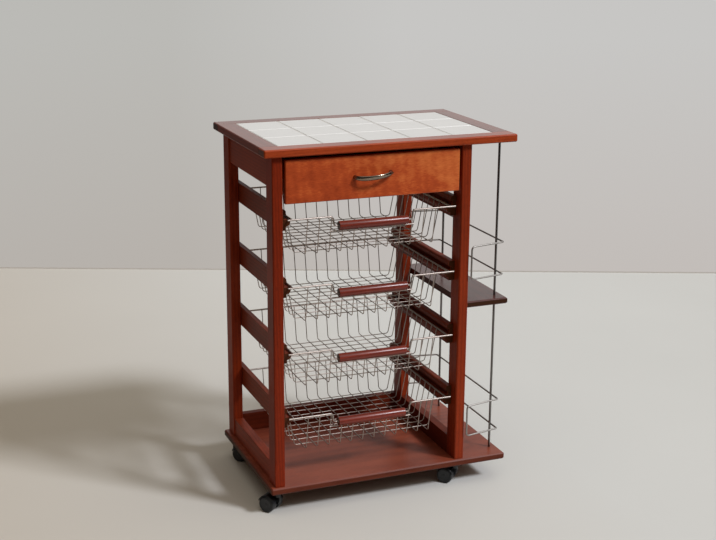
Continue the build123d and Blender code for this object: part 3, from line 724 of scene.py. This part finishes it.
def makeSideBay(size, wireLook):
    material = plainFinish("drawnSteelRod", rodSteel)
    for node in ("front_rod", "back_rod"):
        low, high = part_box(node)
        half = (high.z - low.z) / mm / 2
        radius, ease = size["rodDiameter"] / 2, size["rodEase"]
        profile = [(-half, 0), (-half, radius - ease), (-half + ease, radius), (half - ease, radius),
                   (half, radius - ease), (half, 0)]
        mesh = latheX(camel(node) + "Drawn", profile, 32)
        mesh.transform(Matrix.Translation((low + high) / 2) @ Matrix.Rotation(math.radians(-90), 4, "Y"))
        addPiece(mesh.name, mesh, "carcase", [material], [node])
    for node in ("shelf_gallery", "base_gallery"):
        low, high = (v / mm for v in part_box(node))
        wire = size["wireDiameter"] / 2
        x0, x1 = low.x + wire, high.x - wire
        y, z0, z1 = high.y - wire, low.z + wire, high.z - wire
        rail = [(x0, -y), (x1, -y + size["flare"]), (x1, y - size["flare"]), (x0, y)]
        corners = [(x, v, z1) for x, v in rail] + [(x, v, z0) for x, v in reversed(rail)]
        end, corner = size["endBend"], size["cornerBend"]
        middle = (x0, -y, (z0 + z1) / 2)
        path = bentPath([middle] + corners + [middle], [end, corner, corner, end, end, corner, corner, end])
        wirePiece(camel(node) + "Bent", [(path[1:], size["wireDiameter"], True)], "carcase", wireLook, [node])


makeSideBay(sideBay, plainFinish("zincPlatedGallery", galleryWire))
print("side bay made")


# Figured birch veneer on the drawer front: cloudy orange mottle, fine fibres along the front
drawerVeneer = {
    "darkStain": "#8a2f10",
    "midStain": "#bb4f22",
    "lightStain": "#dc7a3e",
    "cloudSize": 34.0,
    "curlSpacing": 22.0,
    "fibreWidth": 2.2,            # short flecks across the figure
    "fibreLength": 9.0,
    # darker left end: painted shade of the light falling from the right, with some of the veneer's own variation
    "heartShare": 0.4,            # how much darker the left end is than the right
    "lowShare": 0.18,             # and the lower edge than the upper
    "edge": 0.9,
}


def makeDrawerFront(look):
    material, tree = newMaterial("figuredBirchVeneer")
    place = addNode(tree, "ShaderNodeTexCoord", output="Object")
    flat = addNode(tree, "ShaderNodeMapping", {"Vector": place, "Scale": (0.6, 1, 1)})
    cloud = addNode(tree, "ShaderNodeTexNoise", {"Vector": flat, "Scale": perSize(look["cloudSize"]), "Detail": 5.0,
                                                 "Roughness": 0.6, "Distortion": 0.8})
    clouds = addNode(tree, "ShaderNodeMapRange", {"Value": cloud, "From Min": 0.3, "From Max": 0.7})
    lean = addNode(tree, "ShaderNodeMapping", {"Vector": place, "Rotation": (0, math.radians(24), 0), "Scale": (1, 1, 0.25)})
    curl = addNode(tree, "ShaderNodeTexWave", {"Vector": lean, "Scale": 0.314 * perSize(look["curlSpacing"]),
                                               "Distortion": 9.0, "Detail": 3.0, "Detail Scale": 0.5},
                   {"wave_type": "BANDS", "bands_direction": "X"}, "Fac")
    thread = addNode(tree, "ShaderNodeMapping", {"Vector": place, "Scale": (
        perSize(look["fibreLength"]), perSize(look["fibreWidth"]), perSize(look["fibreWidth"]))})
    fibres = addNode(tree, "ShaderNodeTexNoise", {"Vector": thread, "Scale": 1.0, "Detail": 2.0})
    tone = addNode(tree, "ShaderNodeMath", {0: clouds, 1: 0.4, 2: 0.0}, {"operation": "MULTIPLY_ADD"})
    tone = addNode(tree, "ShaderNodeMath", {0: curl, 1: 0.1, 2: tone}, {"operation": "MULTIPLY_ADD"})
    tone = addNode(tree, "ShaderNodeMath", {0: fibres, 1: 0.55, 2: tone}, {"operation": "MULTIPLY_ADD"})
    across = tree.nodes.new("ShaderNodeSeparateXYZ")
    tree.links.new(place, across.inputs[0])
    left, right = (v.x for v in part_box("drawer_front"))
    bottom, top = (v.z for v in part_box("drawer_front"))
    # Painted shade: darker towards the left end
    paintedLeftShade = addNode(tree, "ShaderNodeMapRange", {"Value": across.outputs["X"], "From Min": left, "From Max": right,
                                                 "To Min": -look["heartShare"] / 2, "To Max": look["heartShare"] / 2})
    tone = addNode(tree, "ShaderNodeMath", {0: tone, 1: paintedLeftShade}, {"operation": "ADD"})
    high = addNode(tree, "ShaderNodeMapRange", {"Value": across.outputs["Z"], "From Min": bottom, "From Max": top,
                                                "To Min": -look["lowShare"] / 2, "To Max": look["lowShare"] / 2})
    tone = addNode(tree, "ShaderNodeMath", {0: tone, 1: high}, {"operation": "ADD"})
    low = addNode(tree, "ShaderNodeMapRange", {"Value": tone, "From Max": 0.55})
    high = addNode(tree, "ShaderNodeMapRange", {"Value": tone, "From Min": 0.5, "From Max": 1.0})
    lower = addNode(tree, "ShaderNodeMix", {0: low, 6: linear(look["darkStain"]), 7: linear(look["midStain"])},
                    {"data_type": "RGBA"}, 2)
    colour = addNode(tree, "ShaderNodeMix", {0: high, 6: lower, 7: linear(look["lightStain"])}, {"data_type": "RGBA"}, 2)
    bump = addNode(tree, "ShaderNodeBump", {"Height": fibres, "Strength": 0.2, "Distance": 0.06 * mm})
    shader = addNode(tree, "ShaderNodeBsdfPrincipled", {
        "Base Color": colour, "Roughness": 0.4, "Normal": bump, "IOR": 1.5, "Specular IOR Level": 0.25,
        "Coat Weight": 0.15, "Coat Roughness": 0.25, "Coat IOR": 1.5})
    addNode(tree, "ShaderNodeOutputMaterial", {"Surface": shader})
    easeNode("drawer_front", look["edge"], material, 2, "Veneered")


# Drawer box of pale lacquered board, and the roller slides
boxBoard = {"colour": "#d9c9ab", "darkColour": "#bda27a", "grainSize": (40, 40, 1.2), "roughness": 0.5, "metallic": 0.0,
            "bump": 0.3, "edge": 0.6}
slideEnamel = {"colour": "#e4e2dc", "darkColour": "#d3d0c8", "grainSize": (1.5, 1.5, 1.5), "roughness": 0.38,
               "metallic": 0.0, "bump": 0.2, "edge": 0.25}


def makeDrawerBox(boardLook, slideLook):
    board = plainFinish("lacqueredBirchPly", boardLook)
    for node in ("drawer_left_side", "drawer_right_side", "drawer_back"):
        easeNode(node, boardLook["edge"], board)
    easeNode("drawer_bottom", 0.3, board)
    enamel = plainFinish("creamEnamelledSteel", slideLook)
    for side in ("left", "right"):
        for part in ("_cabinet_slide", "_drawer_slide"):
            easeNode(side + part, slideLook["edge"], enamel, 1)


# Bow pull: an oval bar along a slanted arch that hangs a little, wider and turned in the middle
pull = {"span": 84.0, "slant": 3.0, "sag": 3.0, "reach": 23.3, "foot": 9.5, "thick": 6.0, "wide": 13.0, "twist": 30.0,
        "steps": 48, "sides": 24}
# Satin nickel; its dark brownish tone is painted reflection of the orange drawer front and the dark room
pullMetal = {"colour": "#a39585", "darkColour": "#65584c", "grainSize": (12, 1.5, 1.5), "roughness": 0.2, "metallic": 1.0,
             "bump": 0.08}


def makePull(size):
    material = plainFinish("satinNickel", pullMetal)
    low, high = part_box("pull_screws")
    middle = (low + high) / 2
    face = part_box("drawer_front")[0].y
    shape = bmesh.new()
    rings = []
    for step in range(size["steps"] + 1):
        angle = math.pi * step / size["steps"]
        swell = math.sin(angle)
        bow = size["reach"] - size["thick"] / 2
        rise = -size["slant"] * math.cos(angle) - size["sag"] * swell
        centre = Vector((-size["span"] / 2 * math.cos(angle), -bow * swell, rise))
        along = Vector((size["span"] / 2 * math.sin(angle), -bow * math.cos(angle), 0)).normalized()
        side = along.cross(Vector((0, 0, 1)))
        turn = math.radians(size["twist"]) * swell
        wide = (size["foot"] + (size["wide"] - size["foot"]) * swell) / 2
        thick = (size["foot"] + (size["thick"] - size["foot"]) * swell) / 2
        upAxis = Vector((0, 0, 1)) * math.cos(turn) + along.cross(Vector((0, 0, 1))) * math.sin(turn)
        outAxis = side * math.cos(turn) - Vector((0, 0, 1)) * math.sin(turn)
        ring = []
        for corner in range(size["sides"]):
            a = 2 * math.pi * corner / size["sides"]
            point = centre + upAxis * wide * math.cos(a) + outAxis * thick * math.sin(a)
            point = Vector((middle.x, face, middle.z)) + point * mm
            point.y = min(point.y, face)
            ring.append(shape.verts.new(point))
        rings.append(ring)
    for first, second in zip(rings, rings[1:]):
        for corner in range(size["sides"]):
            after = (corner + 1) % size["sides"]
            shape.faces.new((first[corner], first[after], second[after], second[corner]))
    shape.faces.new(rings[0])
    shape.faces.new(rings[-1])
    bmesh.ops.recalc_face_normals(shape, faces=shape.faces)
    mesh = bpy.data.meshes.new("drawerPullCast")
    shape.to_mesh(mesh)
    shape.free()
    mesh.shade_smooth()
    mesh.set_sharp_from_angle(angle=math.radians(50))
    addPiece(mesh.name, mesh, "drawer", [material], ["drawer_pull"])
    easeNode("pull_screws", 0.2, material, 1)


makeDrawerFront(drawerVeneer)
makeDrawerBox(boxBoard, slideEnamel)
makePull(pull)
print("drawer made")


# Twin-wheel castors, sizes about the stem; the wheels trail behind it
castor = {
    "angles": {"front_left": 128.0, "front_right": 135.0, "back_left": 315.0, "back_right": 120.0},
    "trail": 18.0,
    "wheelRadius": 19.0,
    "inner": 5.0,
    "outer": 22.0,
    "shoulder": 3.0,
    "hoodInside": 20.2,
    "hoodOutside": 22.0,
    "hoodLow": 7.0,
    "webHalf": 4.0,
    "webRadius": 15.0,
    "collarRadius": 8.0,
    "collarTop": 50.2,
    "stemRadius": 4.0,
    "stemTop": 80.2,
}
castorNylon = {"colour": "#17191c", "darkColour": "#0b0c0e", "grainSize": (1.2, 1.2, 1.2), "roughness": 0.34,
               "metallic": 0.0, "bump": 0.25}
wheelNylon = {"colour": "#1b1d20", "darkColour": "#101113", "grainSize": (0.8, 0.8, 0.8), "roughness": 0.42,
              "metallic": 0.0, "bump": 0.3}


def arcPoints(centre, radius, start, end, steps):
    return [(centre[0] + radius * math.cos(math.radians(start + (end - start) * i / steps)),
             centre[1] + radius * math.sin(math.radians(start + (end - start) * i / steps))) for i in range(steps + 1)]


# Wheel profile: tread with round shoulders, a fine groove inside the rim, a shallow dish and an axle cap
def wheelProfile(size):
    inner, outer, radius, round_ = size["inner"], size["outer"], size["wheelRadius"], size["shoulder"]
    inside = [(inner, 0), (inner, radius - 2)] + arcPoints((inner + 1, radius - 1), 1, 180, 90, 3)
    tread = [((inner + outer) / 2, radius)]
    shoulder = arcPoints((outer - round_, radius - round_), round_, 90, 0, 6)
    rim = radius - round_
    face = [(outer, rim - 0.4), (outer - 0.7, rim - 0.7), (outer - 0.7, rim - 1.3), (outer, rim - 1.6),
            (outer, rim - 3.6), (outer - 0.5, rim - 4.2), (outer - 0.9, rim - 9), (outer - 0.9, 4.2), (outer - 0.1, 3.6),
            (outer, 3.2), (outer, 0)]
    return inside + tread + shoulder + face


# Hood: part of a ring round the axle, with eased outer edges; the web and neck stand under it
def housingMesh(size):
    shape = bmesh.new()
    inside, outside, wide = size["hoodInside"], size["hoodOutside"], size["outer"]
    section = [(-wide, inside), (wide, inside), (wide, outside - 1.2), (wide - 1.2, outside), (-wide + 1.2, outside),
               (-wide, outside - 1.2)]
    low = math.degrees(math.asin(size["hoodLow"] / outside))
    steps = 28
    rings = []
    for step in range(steps + 1):
        angle = math.radians(low + (180 - 2 * low) * step / steps)
        rings.append([shape.verts.new(Vector((size["trail"] + r * math.cos(angle), y,
                                              size["wheelRadius"] + r * math.sin(angle))) * mm) for y, r in section])
    for first, second in zip(rings, rings[1:]):
        for i in range(len(section)):
            j = (i + 1) % len(section)
            shape.faces.new((first[i], first[j], second[j], second[i]))
    shape.faces.new(rings[0])
    shape.faces.new(rings[-1])

    # Web: round below the axle, up into the hood, with the neck back to the stem
    trail, radius = size["trail"], size["webRadius"]
    outline = arcPoints((trail, 0), radius, -150, 20, 20) + arcPoints((trail, 0), inside + 0.6, 24, 150, 16)
    outline = [p for p in outline if not (p[0] < 0 and p[1] > 0)]
    outline += [(-6.5, 19.5), (-8, 17), (-8, 8), (-6, 3)]
    outline = [(x, z + size["wheelRadius"]) for x, z in outline]
    faces = []
    for y in (-size["webHalf"], size["webHalf"]):
        faces.append([shape.verts.new(Vector((x, y, z)) * mm) for x, z in outline])
    shape.faces.new(faces[0])
    shape.faces.new(list(reversed(faces[1])))
    for i in range(len(outline)):
        j = (i + 1) % len(outline)
        shape.faces.new((faces[0][i], faces[1][i], faces[1][j], faces[0][j]))
    bmesh.ops.recalc_face_normals(shape, faces=shape.faces)
    mesh = bpy.data.meshes.new("castorHood")
    shape.to_mesh(mesh)
    shape.free()
    return mesh


# Joins meshes, each with its own placement, into one
def joinMeshes(name, parts, smoothAngle=35):
    shape = bmesh.new()
    for mesh, matrix in parts:
        copy = mesh.copy()
        copy.transform(matrix)
        shape.from_mesh(copy)
        bpy.data.meshes.remove(copy)
    joined = bpy.data.meshes.new(name)
    shape.to_mesh(joined)
    shape.free()
    joined.shade_smooth()
    joined.set_sharp_from_angle(angle=math.radians(smoothAngle))
    return joined


def makeCastors(size):
    moulded = plainFinish("mouldedNylonHousing", castorNylon)
    rolled = plainFinish("mouldedNylonWheel", wheelNylon)
    upright = Matrix.Rotation(math.radians(-90), 4, "Y")
    wheel = latheX("castorWheel", wheelProfile(size), 56)
    hood = housingMesh(size)
    crown = size["wheelRadius"] + 17
    top, stem = size["collarTop"], size["stemRadius"]
    collar = latheX("castorCollar", [(crown, 0), (crown, size["collarRadius"]), (top - 1, size["collarRadius"]),
                                     (top, size["collarRadius"] - 1), (top, stem), (size["stemTop"] - 0.8, stem),
                                     (size["stemTop"], stem - 0.8), (size["stemTop"], 0)], 40)
    pin = latheX("castorPin", [(-size["inner"], 0), (-size["inner"], 3), (size["inner"], 3), (size["inner"], 0)], 24)
    for corner, angle in size["angles"].items():
        low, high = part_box(corner + "_post")
        place = Matrix.Translation(((low.x + high.x) / 2, (low.y + high.y) / 2, 0)) @ Matrix.Rotation(math.radians(angle), 4, "Z")
        housing = joinMeshes(camel(corner) + "CastorHousingMoulded", [(hood, place), (collar, place @ upright)])
        piece = addPiece(housing.name, housing, corner + "_castor", [moulded], [corner + "_castor_housing"])
        ease = piece.modifiers.new("ease", "BEVEL")
        ease.width, ease.segments, ease.limit_method, ease.angle_limit = 0.4 * mm, 2, "ANGLE", math.radians(40)
        ease.harden_normals = True
        axle = place @ Matrix.Translation(Vector((size["trail"], 0, size["wheelRadius"])) * mm)
        parts = [(wheel, axle @ Matrix.Rotation(math.radians(s), 4, "Z")) for s in (90, -90)]
        parts.append((pin, axle @ Matrix.Rotation(math.radians(90), 4, "Z")))
        wheels = joinMeshes(camel(corner) + "CastorWheelsMoulded", parts)
        addPiece(wheels.name, wheels, corner + "_wheels", [rolled], [corner + "_castor_wheels"])
    for mesh in (wheel, hood, collar, pin):
        bpy.data.meshes.remove(mesh)


# Plated sockets pressed into the base board, and the hardboard panel that carries the tiles
socketPlate = {"colour": "#b9b6b0", "darkColour": "#8d8a85", "grainSize": (2, 2, 2), "roughness": 0.35, "metallic": 1.0,
               "bump": 0.1}
panelBoard = {"colour": "#8a5f3e", "darkColour": "#6b4528", "grainSize": (3, 3, 3), "roughness": 0.75, "metallic": 0.0,
              "bump": 0.4}

makeCastors(castor)
easeNode("castor_sockets", 0.3, plainFinish("zincPlatedSocket", socketPlate), 1)
easeNode("top_panel", 0.4, plainFinish("hardboardPanel", panelBoard), 1)
print("castors made")
